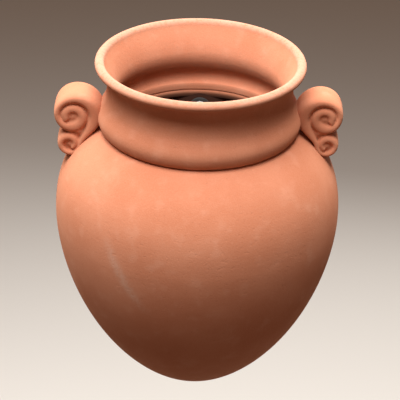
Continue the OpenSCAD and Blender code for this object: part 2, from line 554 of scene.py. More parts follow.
@dataclass(frozen=True)
class Terracotta:
    """Unglazed earthenware, thrown or rolled, fired to a matt orange body.

    To the eye it is chalky and quite without gloss: a warm ground that drifts in
    hue over a few centimetres, a sandy grain, a few dark and pale specks of grog,
    faint lines left by the turning, and a bloom of pale salts in places. Handling
    rubs it pale in a scuff. A pale painted highlight lies on the top of the lip, and
    painted shade darkens the inside of the pot and the front of the back slab.
    """

    name: str
    ground: str = "#d48d6c"
    deep: str = "#cd8361"
    pale: str = "#dfa488"
    speck: str = "#8d553f"
    # pale salts; also the colour of the scuffs and of the painted highlight on the lip's top
    pale_salts_and_highlight: str = "#dcbba8"
    # painted shade: the dark laid over the inside of the pot, where only shade falls
    painted_shade: str = "#3c2117"
    # Each noise: its name, the width of its patches in millimetres, detail and roughness.
    # Real grit is under half a millimetre, too fine to show, so the grain is drawn coarser.
    noises: tuple[tuple[str, float, float, float], ...] = (
        ("drift", 45.0, 4.0, 0.55),
        ("patch", 11.0, 3.0, 0.5),
        ("grain", 0.9, 2.0, 0.6),
        ("cloud", 26.0, 5.0, 0.62),
        ("rub", 2.2, 4.0, 0.7),
        ("pores", 2.6, 2.0, 0.5),
    )
    ring_mm: float = 3.2
    ring_depth_mm: float = 0.05
    grain_depth_mm: float = 0.10
    pit_depth_mm: float = 0.05
    grog_cell_mm: float = 4.0
    grog_share: float = 0.38
    speck_share: float = 0.18
    bloom_share: float = 0.06
    # the scuffs and the lip's painted highlight hide at most this much of the coat below
    scuff_and_highlight_share: float = 0.38

    def make(self, hang: Hang) -> bpy.types.Material:
        """Builds the material.

        Args:
            hang: how the pot is placed, for the pattern that turns with its axis.

        Returns:
            The finished material.
        """
        bench = NodeBench(self.name)
        place = bench.add("ShaderNodeTexCoord")
        location, rotation = hang.upright_mapping()
        upright = bench.add(
            "ShaderNodeMapping", inputs={"Location": location, "Rotation": rotation},
            links={"Vector": (place, "Object")},
        )
        noises = {
            key: bench.noise(upright, 0, size_mm, detail, roughness)
            for key, size_mm, detail, roughness in self.noises
        }
        rings = self.rings(bench, upright)
        colour = self.coat(bench, noises["drift"], 0.35, 0.65, self.deep, self.ground)
        colour = self.coat(bench, noises["patch"], 0.52, 0.78, colour, self.pale, 0.35)
        colour = self.coat(bench, rings, 0.45, 0.9, colour, self.deep, 0.25)
        colour = self.coat(bench, noises["grain"], 0.25, 0.75, colour, self.pale, 0.22)
        colour = self.specks(bench, upright, colour)
        colour = self.coat(bench, noises["cloud"], 0.56, 0.80, colour, self.pale_salts_and_highlight, self.bloom_share)
        colour = self.wear(bench, noises["rub"], colour)
        bench.feed("Base Color", colour, MIX_RESULT)
        bench.constants(roughness=0.92, specular_ior_level=0.22, diffuse_roughness=0.7)
        self.relief(bench, rings, noises["grain"], noises["pores"])
        return bench.material

    def coat(self, bench: NodeBench, pattern: bpy.types.Node, low: float, high: float,
             under: str | bpy.types.Node, colour: str, share: float = 1.0) -> bpy.types.Node:
        """Lays a colour over what is under it, where a pattern is high.

        Args:
            bench: the material's nodes.
            pattern: the node whose first output is the pattern.
            low: where the colour starts to show.
            high: where it shows in full.
            under: the coat below, as a hex colour or as the node of an earlier coat.
            colour: the hex colour of this coat.
            share: how much of the coat below it hides at most.

        Returns:
            The node of this coat.
        """
        return bench.mix(bench.ramp(pattern, low, high, end=share), under, colour)

    def rings(self, bench: NodeBench, upright: bpy.types.Node) -> bpy.types.Node:
        """Turning lines: noise that is long round the pot's axis and ring_mm high along it.

        Args:
            bench: the material's nodes.
            upright: the coordinates on the pot's own axis.

        Returns:
            The node of the lines.
        """
        around = bench.add(
            "ShaderNodeMapping", inputs={"Scale": (6.0, 6.0, 1 / (self.ring_mm * MM))},
            links={"Vector": (upright, 0)},
        )
        return bench.add(
            "ShaderNodeTexNoise", inputs={"Scale": 1.0, "Detail": 4.0, "Roughness": 0.65},
            links={"Vector": (around, 0)},
        )

    def specks(self, bench: NodeBench, upright: bpy.types.Node,
               under: bpy.types.Node) -> bpy.types.Node:
        """Dark specks of grog about 1 mm across, in a share of the cells of a Voronoi pattern.

        Args:
            bench: the material's nodes.
            upright: the coordinates on the pot's own axis.
            under: the node of the coat below.

        Returns:
            The node of the specked coat.
        """
        cells = bench.add(
            "ShaderNodeTexVoronoi", inputs={"Scale": 1 / (self.grog_cell_mm * MM), "Randomness": 1.0},
            links={"Vector": (upright, 0)},
        )
        near = bench.ramp(cells, 0.16, 0.07, kind="LINEAR", output="Distance")
        some = bench.add(
            "ShaderNodeMath", settings={"operation": "GREATER_THAN"},
            inputs={1: 1 - self.grog_share}, links={0: (cells, "Color")},
        )
        both = bench.times((near, 0), (some, 0))
        return self.coat(bench, both, 0.0, 1.0, under, self.speck, self.speck_share)

    def wear(self, bench: NodeBench, rub: bpy.types.Node, under: bpy.types.Node) -> bpy.types.Node:
        """Pale scuffs and the lip's painted highlight, then painted shade, each where the mesh carries an
        attribute of that name.

        Args:
            bench: the material's nodes.
            rub: the noise that breaks up the scuffs and the lip's painted highlight.
            under: the node of the coat below.

        Returns:
            The node of the scuffed, highlighted and shaded coat.
        """
        scuff_and_highlight = bench.add("ShaderNodeAttribute", settings={"attribute_name": "scuff_and_highlight"})
        patchy = bench.times((scuff_and_highlight, "Fac"), (bench.ramp(rub, 0.20, 0.60), 0))
        # pale scuffs, and a painted highlight on the lip's top
        scuffed_and_highlit = self.coat(bench, patchy, 0.0, 1.0, under, self.pale_salts_and_highlight, self.scuff_and_highlight_share)
        # painted shade, read from the mesh's attribute, darkens the inside
        painted_shade = bench.add("ShaderNodeAttribute", settings={"attribute_name": "painted_shade"})
        return bench.mix(painted_shade, scuffed_and_highlit, self.painted_shade, "Fac")

    def relief(self, bench: NodeBench, rings: bpy.types.Node, grain: bpy.types.Node,
               pores: bpy.types.Node) -> None:
        """Bump in real millimetres: the turning lines, then the sandy grain and its pits.

        Args:
            bench: the material's nodes.
            rings: the turning lines.
            grain: the noise of the sandy grain.
            pores: the noise whose low spots are pits.
        """
        turned = bench.bump(rings, self.ring_depth_mm)
        sandy = bench.bump(grain, self.grain_depth_mm, turned)
        pitted = bench.bump(bench.ramp(pores, 0.28, 0.42), self.pit_depth_mm, sandy)
        bench.feed("Normal", pitted, 0)


@dataclass(frozen=True)
class ZincPlate:
    """Bright zinc plate on cold-formed steel: a soft grey mirror with a cloudy bloom."""

    name: str = "bright_zinc_plate"
    metal: str = "#b9bcc0"
    dull: str = "#8f8f8b"
    cloud_mm: float = 1.6
    dent_mm: float = 0.02

    def make(self) -> bpy.types.Material:
        """Builds the material: cloudy colour and roughness, and faint dents.

        Returns:
            The finished material.
        """
        bench = NodeBench(self.name)
        place = bench.add("ShaderNodeTexCoord")
        cloud = bench.noise(place, "Object", self.cloud_mm, 4.0)
        bench.constants(metallic=1.0)
        bench.feed("Base Color", bench.mix(cloud, self.metal, self.dull), MIX_RESULT)
        bench.feed("Roughness", bench.ramp(cloud, 0.0, 1.0, 0.22, 0.5, "LINEAR"), 0)
        bench.feed("Normal", bench.bump(cloud, self.dent_mm), 0)
        return bench.material


@dataclass(frozen=True)
class Moulded:
    """A matt moulded polymer: even colour, a little dust, and the mould's spark-eroded grain."""

    name: str
    colour: str
    dust: str
    roughness: float
    grain_mm: float = 0.5
    grain_depth_mm: float = 0.03
    dust_mm: float = 5.0

    def make(self) -> bpy.types.Material:
        """Builds the material: dusty colour over a fine eroded grain.

        Returns:
            The finished material.
        """
        bench = NodeBench(self.name)
        place = bench.add("ShaderNodeTexCoord")
        dusty = bench.noise(place, "Object", self.dust_mm, 3.0)
        grain = bench.noise(place, "Object", self.grain_mm, 2.0)
        share = bench.ramp(dusty, 0.4, 0.8, end=0.5, kind="LINEAR")
        bench.constants(roughness=self.roughness)
        bench.feed("Base Color", bench.mix(share, self.colour, self.dust), MIX_RESULT)
        bench.feed("Normal", bench.bump(grain, self.grain_depth_mm), 0)
        return bench.material


def vertex_places(piece: bpy.types.Object) -> np.ndarray:
    """The piece's vertices in the wall's frame, (n, 3), in millimetres."""
    at = np.zeros(len(piece.data.vertices) * 3)
    piece.data.vertices.foreach_get("co", at)
    return at.reshape(-1, 3) / MM


def mark(piece: bpy.types.Object, name: str, values: np.ndarray) -> None:
    """Writes one value a vertex as a named attribute that a material reads.

    Args:
        piece: the mesh object.
        name: the attribute's name.
        values: one value for each vertex.
    """
    attribute = piece.data.attributes.new(name, "FLOAT", "POINT")
    attribute.data.foreach_set("value", values.astype(np.float32))


def dress(piece: bpy.types.Object, material: bpy.types.Material, slot: Slot, *nodes: str) -> None:
    """Gives a piece its material, its body and the CAD nodes that it stands for.

    Args:
        piece: the finished piece.
        material: its finish.
        slot: the record's material slot; not used.
        nodes: names of the CAD nodes that it replaces.
    """
    piece.data.materials.clear()
    piece.data.materials.append(material)
    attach(piece, BODY)
    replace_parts(piece, *nodes)


# ------------------------------------------------------------ clay parts


@dataclass
class Belly:
    """The thrown belly: round bottom, shoulder, drain hole, and its back sliced flat."""

    sizes: PotSizes
    hang: Hang
    bottom_bend: float = 1.75
    shoulder_rise: float = 2.3
    shoulder_turn: float = 1.4
    spacing_mm: float = 2.0
    turns: int = 240
    wobble_mm: float = 0.25
    edge_mm: float = 0.9
    scuff_top: float = -62.0
    scuff_drop: float = 56.0
    scuff_side: float = -58.0
    scuff_drift: float = 28.0
    scuff_w: float = 3.6
    scuff_front: float = -20.0
    curve_steps: int = 90
    calm_mm: float = 20.0
    # where the painted shade on the inside starts, and how far it takes to come in
    skin_mm: float = 3.0
    fade_mm: float = 3.0
    bottom_extra: float = 3.0

    def curve(self, radius: float, floor_z: float, depth: float, top_r: float, top_z: float) -> np.ndarray:
        """Radius and height from a flat floor up to the neck.

        Below the widest point the radius is R (1 - u^b)^(1/b), a superellipse that
        closes at the given depth. Above it the radius falls from R to top_r as
        (1 - u^rise)^(1/turn), with u from 0 at the widest point to 1 at the top.

        Args:
            radius: widest radius R.
            floor_z: height where the curve starts.
            depth: depth below the widest point where the bottom would close.
            top_r: radius at the top.
            top_z: height of the top.

        Returns:
            The points, (n, 2).
        """
        s = self.sizes
        start = math.asin((s.belly_z - floor_z) / depth)
        u = np.sin(np.linspace(start, 0, self.curve_steps))
        low = np.stack([radius * (1 - u**self.bottom_bend) ** (1 / self.bottom_bend),
                        s.belly_z - depth * u], -1)
        v = np.sin(np.linspace(0, np.pi / 2, self.curve_steps))[1:]
        turn_in = np.maximum(0, 1 - v**self.shoulder_rise) ** (1 / self.shoulder_turn)
        high = np.stack([top_r + (radius - top_r) * turn_in,
                         s.belly_z + (top_z - s.belly_z) * v], -1)
        return np.vstack([low, high])

    def outside(self) -> np.ndarray:
        """The outer curve, from the edge of the base up to the groove."""
        s = self.sizes
        return self.curve(s.belly_r, 0, s.bottom_depth, s.groove_r, s.neck_z)

    def inside(self) -> np.ndarray:
        """The inner curve, from the edge of the floor up to the mouth.

        It would close bottom_extra higher than the wall's thickness alone would put it.

        Returns:
            Radius and height, (n, 2).
        """
        s = self.sizes
        depth = s.bottom_depth - s.clay_t - self.bottom_extra
        return self.curve(s.belly_r - s.clay_t, s.floor_t, depth, s.mouth_r, s.neck_z - s.shoulder_t)

    def rings(self) -> np.ndarray:
        """The closed loop of rings: hole, base, outside, joint, inside, floor and back.

        Returns:
            Radius, height and the Y of the circle's centre, (n, 3).
        """
        s = self.sizes
        out, inner = self.outside(), self.inside()[::-1]
        hole_low, hole_high = (s.drain_r, 0, s.drain_y), (s.drain_r, s.floor_t, s.drain_y)
        lines = [
            np.array([hole_low, (*out[0], 0)]),
            np.pad(out, ((0, 0), (0, 1))),
            np.array([(*out[-1], 0), (s.mouth_r, s.neck_z, 0), (*inner[0], 0)]),
            np.pad(inner, ((0, 0), (0, 1))),
            np.array([(*inner[-1], 0), hole_high]),
            np.array([hole_high, hole_low]),
        ]
        return np.vstack([evenly(line, self.spacing_mm)[:-1] for line in lines])

    def build(self) -> bpy.types.Object:
        """Builds the belly as one closed shell.

        The potter's hand leaves it a little out of round: each point moves towards
        the axis by up to wobble_mm, by a sum of slow waves round and up the pot, which
        die out within calm_mm of the base and the joint.

        Returns:
            The belly.
        """
        rings = self.rings()
        points = revolve(rings, self.turns)
        angle = full_turn(self.turns)
        up = points[..., 2]
        height = up / self.sizes.neck_z * TAU / 2
        calm = np.clip((self.sizes.neck_z - up) / self.calm_mm, 0, 1) * np.clip(up / self.calm_mm, 0, 1)
        shrink = self.wobble_mm * waves(np.broadcast_to(angle, height.shape), height, seed=7) * calm
        radius = np.hypot(points[..., 0], points[..., 1])
        points[..., :2] *= (1 - shrink / np.maximum(radius, 1))[..., None]
        faces = grid_faces(len(rings), self.turns, True, True)
        piece = make_piece("thrown_belly", self.hang.place(points), faces)
        slice_at_wall(piece)
        self.mark_scuff_and_shade(piece)
        soften_edges(piece, self.edge_mm)
        return piece

    def mark_scuff_and_shade(self, piece: bpy.types.Object) -> None:
        """Writes a pale scuff low on the left, and painted shade on the inside.

        The scuff is exp(-(d / w)^2) for the distance d to a line that runs down the
        belly, and it fades in and out with a half sine along that line. The painted
        shade starts skin_mm in from the outer curve, above the floor.

        Args:
            piece: the belly.
        """
        at = vertex_places(piece)
        share = np.clip((self.scuff_top - at[:, 2]) / self.scuff_drop, 0, 1)
        middle = self.scuff_side + self.scuff_drift * share**1.5
        near = np.exp(-(((at[:, 0] - middle) / self.scuff_w) ** 2)) * (at[:, 1] < self.scuff_front)
        mark(piece, "scuff_and_highlight", near * np.sin(np.pi * share) ** 0.6)
        upright = self.hang.upright(at)
        out = np.interp(upright[:, 2], *self.outside().T[::-1])
        depth = out - np.hypot(upright[:, 0], upright[:, 1])
        inside = (upright[:, 2] > self.sizes.floor_t - 1) & (at[:, 1] < -1)
        # painted shade on the inside, below the joint with the neck
        mark(piece, "painted_shade", inside * np.clip((depth - self.skin_mm) / 2, 0, 1) * self.painted_shade_below(at))

    def painted_shade_below(self, at: np.ndarray) -> np.ndarray:
        """How much painted shade a point gets by how far down the inside it is: 0 at the joint with the
        neck, 1 lower down.

        Args:
            at: points in the wall's frame, in millimetres.

        Returns:
            One value a point.
        """
        return np.clip((self.sizes.neck_z - 1 - self.hang.upright(at)[:, 2]) / self.fade_mm, 0, 1)


@dataclass
class Neck:
    """The thrown neck: hollow collar, throat, flare and rolled lip."""

    sizes: PotSizes
    hang: Hang
    spacing_mm: float = 1.2
    turns: int = 240
    # how strongly the top of the lip is painted pale as a highlight
    lip_painted_highlight: float = 0.9
    lip_arc_deg: tuple[float, float] = (-60, 176)
    lip_steps: int = 28
    edge_mm: float = 0.7

    def outside(self) -> np.ndarray:
        """Radius and height above the joint: groove, collar, throat and flare."""
        s = self.sizes
        groove, collar, throat = s.groove_r, s.collar_r, s.throat_r
        return smooth_curve([
            (groove, 0), (collar - 2, 1.6), (collar - 0.6, 4.6), (collar, 8.6), (collar - 0.7, 12.6),
            (collar - 2.8, 16.8), (throat + 1.3, 21), (throat + 0.1, 26), (throat, 31),
            (throat + 1.1, 36.5), (throat + 3.3, 42)], 8)

    def inside(self) -> np.ndarray:
        """Radius and height above the joint, from the lip down: flare, throat, collar, mouth."""
        s = self.sizes
        mouth, collar, throat = s.mouth_r, s.collar_r, s.throat_r
        return smooth_curve([
            (s.lip_r - s.lip_roll_r, 46), (throat - 0.3, 42.5), (throat - 2.9, 37.5),
            (throat - 5.2, 32), (throat - 6.5, 27), (throat - 6.3, 22), (throat - 4.5, 17),
            (collar - 8.4, 13), (collar - 7, 9.8), (collar - 7.6, 7.2), (mouth + 1.8, 5.4),
            (mouth + 0.1, 4.4), (mouth, 3.4), (mouth, 0)], 8)

    def profile(self) -> np.ndarray:
        """The closed outline of the neck's wall, (n, 2), with its lip as an arc."""
        s = self.sizes
        lip = arc((s.lip_r, s.lip_height), s.lip_roll_r, *self.lip_arc_deg, self.lip_steps)
        lines = [np.vstack([self.outside(), lip]), np.vstack([lip[-1:], self.inside()]),
                 np.array([(s.mouth_r, 0), (s.groove_r, 0)])]
        return np.vstack([evenly(line, self.spacing_mm)[:-1] for line in lines])

    def build(self) -> bpy.types.Object:
        """Revolves the outline, slices the back of the collar flat and paints a pale highlight on the top
        of the lip.

        Returns:
            The neck.
        """
        profile = self.profile()
        rings = np.stack([profile[:, 0], profile[:, 1] + self.sizes.neck_z, 0 * profile[:, 0]], -1)
        points = revolve(rings, self.turns)
        piece = make_piece(
            "thrown_neck", self.hang.place(points), grid_faces(len(rings), self.turns, True, True)
        )
        slice_at_wall(piece)
        height = self.hang.upright(vertex_places(piece))[:, 2]
        # painted highlight: the top of the lip, which faces the light, is painted pale
        mark(piece, "scuff_and_highlight", self.lip_painted_highlight * np.clip((height - self.sizes.lip_z + 1) / 3, 0, 1))
        soften_edges(piece, self.edge_mm)
        return piece


@dataclass
class BackSlab:
    """The rolled slab that closes the sliced back, with its screw hole."""

    sizes: PotSizes
    hang: Hang
    belly: Belly
    turns: int = 256
    rings_across: int = 24
    outline_step_mm: float = 0.25
    edge_mm: float = 0.6

    def outline(self, depth_mm: float) -> np.ndarray:
        """The edge of the slab at a depth in front of the wall.

        At each height h of the hollow, with radius R(h), the plane stands y(h) from the
        axis, so the edge is x = +-sqrt(R^2 - y^2), from the top down one side and up the
        other. It is then spread evenly along its length.

        Args:
            depth_mm: distance in front of the wall.

        Returns:
            Points (turns, 3) in the wall's frame, in millimetres.
        """
        hollow = np.vstack([self.belly.inside(), (self.sizes.mouth_r, self.sizes.neck_z)])
        curve = evenly(hollow, self.outline_step_mm)
        back = self.hang.wall_at(curve[:, 1]) - depth_mm / math.cos(self.hang.lean)
        half = np.sqrt(np.maximum(curve[:, 0] ** 2 - back**2, 0))
        kept = np.flatnonzero(half > 0)
        kept = np.append(kept, min(kept[-1] + 1, len(curve) - 1))
        side = np.stack([half[kept], back[kept], curve[kept, 1]], -1)
        loop = np.vstack([side, side[::-1] * (-1, 1, 1)])
        loop = np.vstack([loop, loop[:1]])
        return self.hang.place(evenly(loop, loop_points=self.turns))

    def build(self) -> bpy.types.Object:
        """Builds the slab as rings that go from the hole to the edge, front and back.

        Ring t is (1 - t) times the hole's circle plus t times the outline. The circle's
        points are at the angles of the outline's points, so that the rings don't twist.
        The front, which faces the inside of the pot, gets painted shade all over.

        Returns:
            The slab.
        """
        front, back = self.outline(self.sizes.slab_t), self.outline(0.0)
        angle = np.arctan2(back[:, 2], back[:, 0])
        circle = self.sizes.hole_r * np.stack([np.cos(angle), 0 * angle, np.sin(angle)], -1)
        t = np.linspace(0, 1, self.rings_across)[:, None, None]
        back_face = circle * (1 - t) + back * t
        front_face = (circle + front[0] * (0, 1, 0)) * (1 - t) + front * t
        points = np.concatenate([back_face, front_face[::-1]])
        faces = grid_faces(len(points), self.turns, True, True)
        piece = make_piece("back_slab_clay", points, faces)
        # painted shade over the whole front of the slab
        mark(piece, "painted_shade", vertex_places(piece)[:, 1] < -self.sizes.slab_t / 2)
        soften_edges(piece, self.edge_mm)
        return piece


@dataclass(frozen=True)
class Roll:
    """One rolled end of a strap, by the radius of its outside at every quarter turn.

    The turns touch, so the inside of each turn is the outside of the next one. A roll
    that goes up from the pot and over has up = 1, and one that goes under has -1.
    """

    at: tuple[float, float]
    radii: tuple[float, ...]
    up: int
    turn: float
    core_r: float
    overlap: float = 0.7
    steps: int = 200

    def radius(self, angle: np.ndarray) -> np.ndarray:
        """The outer radius along the turns: a Catmull-Rom curve through the quarters.

        Args:
            angle: angles in degrees.

        Returns:
            One radius an angle.
        """
        quarter = angle / 90
        i = np.floor(quarter).astype(int)
        table, last = np.asarray(self.radii), len(self.radii) - 1
        a, b, c, d = (table[np.clip(i + k, 0, last)] for k in (-1, 0, 1, 2))
        t = quarter - i
        rise = (c - a) * t + (2 * a - 5 * b + 4 * c - d) * t**2 + (3 * b - a - 3 * c + d) * t**3
        return (2 * b + rise) / 2

    def rails(self) -> np.ndarray:
        """The strap's outer and inner edge along the roll, centre + r (-cos a, up sin a).

        Returns:
            Points (n, 4): radius and height of the outer edge, then of the inner edge.
        """
        angle = np.linspace(0, self.turn, self.steps)
        a = np.radians(angle)
        ray = np.stack([-np.cos(a), self.up * np.sin(a)], -1)
        outer = np.asarray(self.at) + self.radius(angle)[:, None] * ray
        inner = np.asarray(self.at) + (self.radius(angle + 360) - self.overlap)[:, None] * ray
        return np.hstack([outer, inner])


UPPER_ROLL = Roll((84.0, 201.0), (20.4, 16.2, 13.1, 12.5, 10, 9.6, 8.6, 3, 2.6, 2.4, 2.2), 1, 540, 10.6)
LOWER_ROLL = Roll((86.3, 181.0), (8.9, 9.4, 8.9, 8.5, 5.8, 5.2, 4.4, 1.8, 1.6, 1.5), -1, 400, 6.6)


@dataclass
class Scroll:
    """One handle: a strap of clay with a big roll on top and a small one below."""

    sizes: PotSizes
    hang: Hang
    belly: Belly
    neck: Neck
    side: Side
    size: float = 1.0
    lift: float = 0.0
    width: float = 25.0
    upper: Roll = UPPER_ROLL
    lower: Roll = LOWER_ROLL
    spacing_mm: float = 0.8
    section_points: int = 56
    squareness: float = 3.2
    hollow_mm: float = 0.9
    web_at: tuple[float, float] = (80.5, 190.0)
    web_r: float = 5.5
    link_steps: int = 40
    # How the link leaves each roll: radius and height of its outer edge, then of its inner.
    upper_pull: tuple[float, ...] = (0.5, -9, 0, -8)
    lower_pull: tuple[float, ...] = (-3.5, 6, 0, 5)
    clay_grain_mm: float = 0.55
    rub_share: float = 0.5
    rub_passes: int = 14
    sink_mm: float = 0.3

    def rails(self) -> np.ndarray:
        """Both edges of the strap from the inner end of the upper roll to that of the lower.

        Between the rolls each edge is a cubic Bezier curve that leaves both downwards.

        Returns:
            Points (n, 4), evenly spaced.
        """
        upper, lower = self.upper.rails(), self.lower.rails()
        a, d = upper[0], lower[0]
        b, c = a + self.upper_pull, d + self.lower_pull
        t = np.linspace(0, 1, self.link_steps)[1:-1, None]
        link = (1 - t) ** 3 * a + 3 * (1 - t) ** 2 * t * b + 3 * (1 - t) * t**2 * c + t**3 * d
        return evenly(np.vstack([upper[::-1], link, lower]), self.spacing_mm)

    def strap(self) -> np.ndarray:
        """The strap's skin: a superellipse |x / w|^n + |y / t|^n = 1 carried between the rails.

        Past each end the strap runs on for half its thickness, which falls there as a
        half circle.

        Returns:
            Points (n, m, 3): radius, place across the strap, height.
        """
        rails = self.rails()
        middle, half = (rails[:, :2] + rails[:, 2:]) / 2, (rails[:, :2] - rails[:, 2:]) / 2
        swing = np.linspace(np.pi / 2, 0, 7)[:-1, None]
        ends = []
        for k, way in ((0, -1), (-1, 1)):
            along = np.array([half[k, 1], -half[k, 0]])
            along *= way * np.sign(along @ (middle[1] - middle[0] if k == 0 else middle[-1] - middle[-2]))
            ends.append((middle[k] + np.sin(swing) * along, half[k] * np.cos(swing)))
        middle = np.vstack([ends[0][0], middle, ends[1][0][::-1]])
        half = np.vstack([ends[0][1], half, ends[1][1][::-1]])
        angle = full_turn(self.section_points)
        bend = 2 / self.squareness
        across = np.sign(np.cos(angle)) * np.abs(np.cos(angle)) ** bend
        out = np.sign(np.sin(angle)) * np.abs(np.sin(angle)) ** bend
        flat = middle[:, None] + half[:, None] * out[:, None]
        wide = np.broadcast_to(self.width / 2 * across, flat.shape[:2])
        return np.stack([flat[..., 0], wide, flat[..., 1]], -1)

    def core(self, at: tuple[float, float], radius: float) -> np.ndarray:
        """The clay behind the turns, a barrel that stops hollow_mm short of the faces.

        Args:
            at: radius and height of its middle.
            radius: its own radius.

        Returns:
            Points (n, m, 3): radius, place across the strap, height.
        """
        t = np.linspace(-1, 1, 9)[:, None]
        a = full_turn(self.section_points)
        r = radius * np.sqrt(np.maximum(0, 1 - t**8))
        y = t * (self.width / 2 - self.hollow_mm)
        x, z = at[0] + r * np.cos(a), at[1] + r * np.sin(a)
        return np.stack(np.broadcast_arrays(x, y, z), -1)

    def build(self) -> bpy.types.Object:
        """Joins the strap and the cores, works them into one skin and presses it on the pot.

        The right handle is a smaller copy: it shrinks about its upper roll, which moves
        in by as much as the neck would otherwise be left behind.

        Returns:
            The handle.
        """
        skins = [self.strap(), self.core(self.web_at, self.web_r)]
        skins += [self.core(roll.at, roll.core_r) for roll in (self.upper, self.lower)]
        faces, start = [], 0
        for skin in skins:
            faces.append(start + grid_faces(*skin.shape[:2], False, True))
            start += skin.shape[0] * skin.shape[1]
        points = np.vstack([skin.reshape(-1, 3) for skin in skins])
        points[:, 0] -= self.upper.at[0]
        points[:, 2] -= self.upper.at[1]
        points *= self.size
        points[:, 0] += self.upper.at[0] + (self.size - 1) * (self.upper.at[0] - self.sizes.groove_r)
        points[:, 2] += self.upper.at[1] + self.lift
        points[:, 0] *= self.side.value
        piece = make_piece(f"{self.side.name.lower()}_handle", points, np.vstack(faces))
        self.knead(piece)
        at = self.hang.place(self.press_on(vertex_places(piece))) * MM
        piece.data.vertices.foreach_set("co", at.ravel())
        tidy_mesh(piece)
        return piece

    def knead(self, piece: bpy.types.Object) -> None:
        """Works overlapping turns into one closed skin and takes the sharpness off it.

        Args:
            piece: the handle, whose mesh is replaced.
        """
        skin = piece.modifiers.new("one_skin", "REMESH")
        skin.mode = "VOXEL"
        skin.voxel_size = self.clay_grain_mm * MM
        rub = piece.modifiers.new("rubbed", "SMOOTH")
        rub.factor = self.rub_share
        rub.iterations = self.rub_passes
        graph = bpy.context.evaluated_depsgraph_get()
        mesh = bpy.data.meshes.new_from_object(piece.evaluated_get(graph))
        piece.modifiers.clear()
        piece.data = mesh

    def press_on(self, points: np.ndarray) -> np.ndarray:
        """Moves what would be inside the pot's wall out to just under its skin.

        A point nearer the axis than R(h) - sink goes out along its own radius to there,
        where R(h) is the belly's or the neck's outer radius at its height.

        Args:
            points: points on the pot's own axis, in millimetres.

        Returns:
            The same points, moved where they were too far in.
        """
        low, high = self.belly.outside(), self.neck.outside() + (0, self.sizes.neck_z)
        skin = np.where(
            points[..., 2] < self.sizes.neck_z,
            np.interp(points[..., 2], low[:, 1], low[:, 0]),
            np.interp(points[..., 2], high[:, 1], high[:, 0]),
        )
        radius = np.hypot(points[..., 0], points[..., 1])
        grow = np.maximum(1, (skin - self.sink_mm) / radius)
        return points * np.stack([grow, grow, np.ones_like(grow)], -1)


# -------------------------------------------------------------- fixings


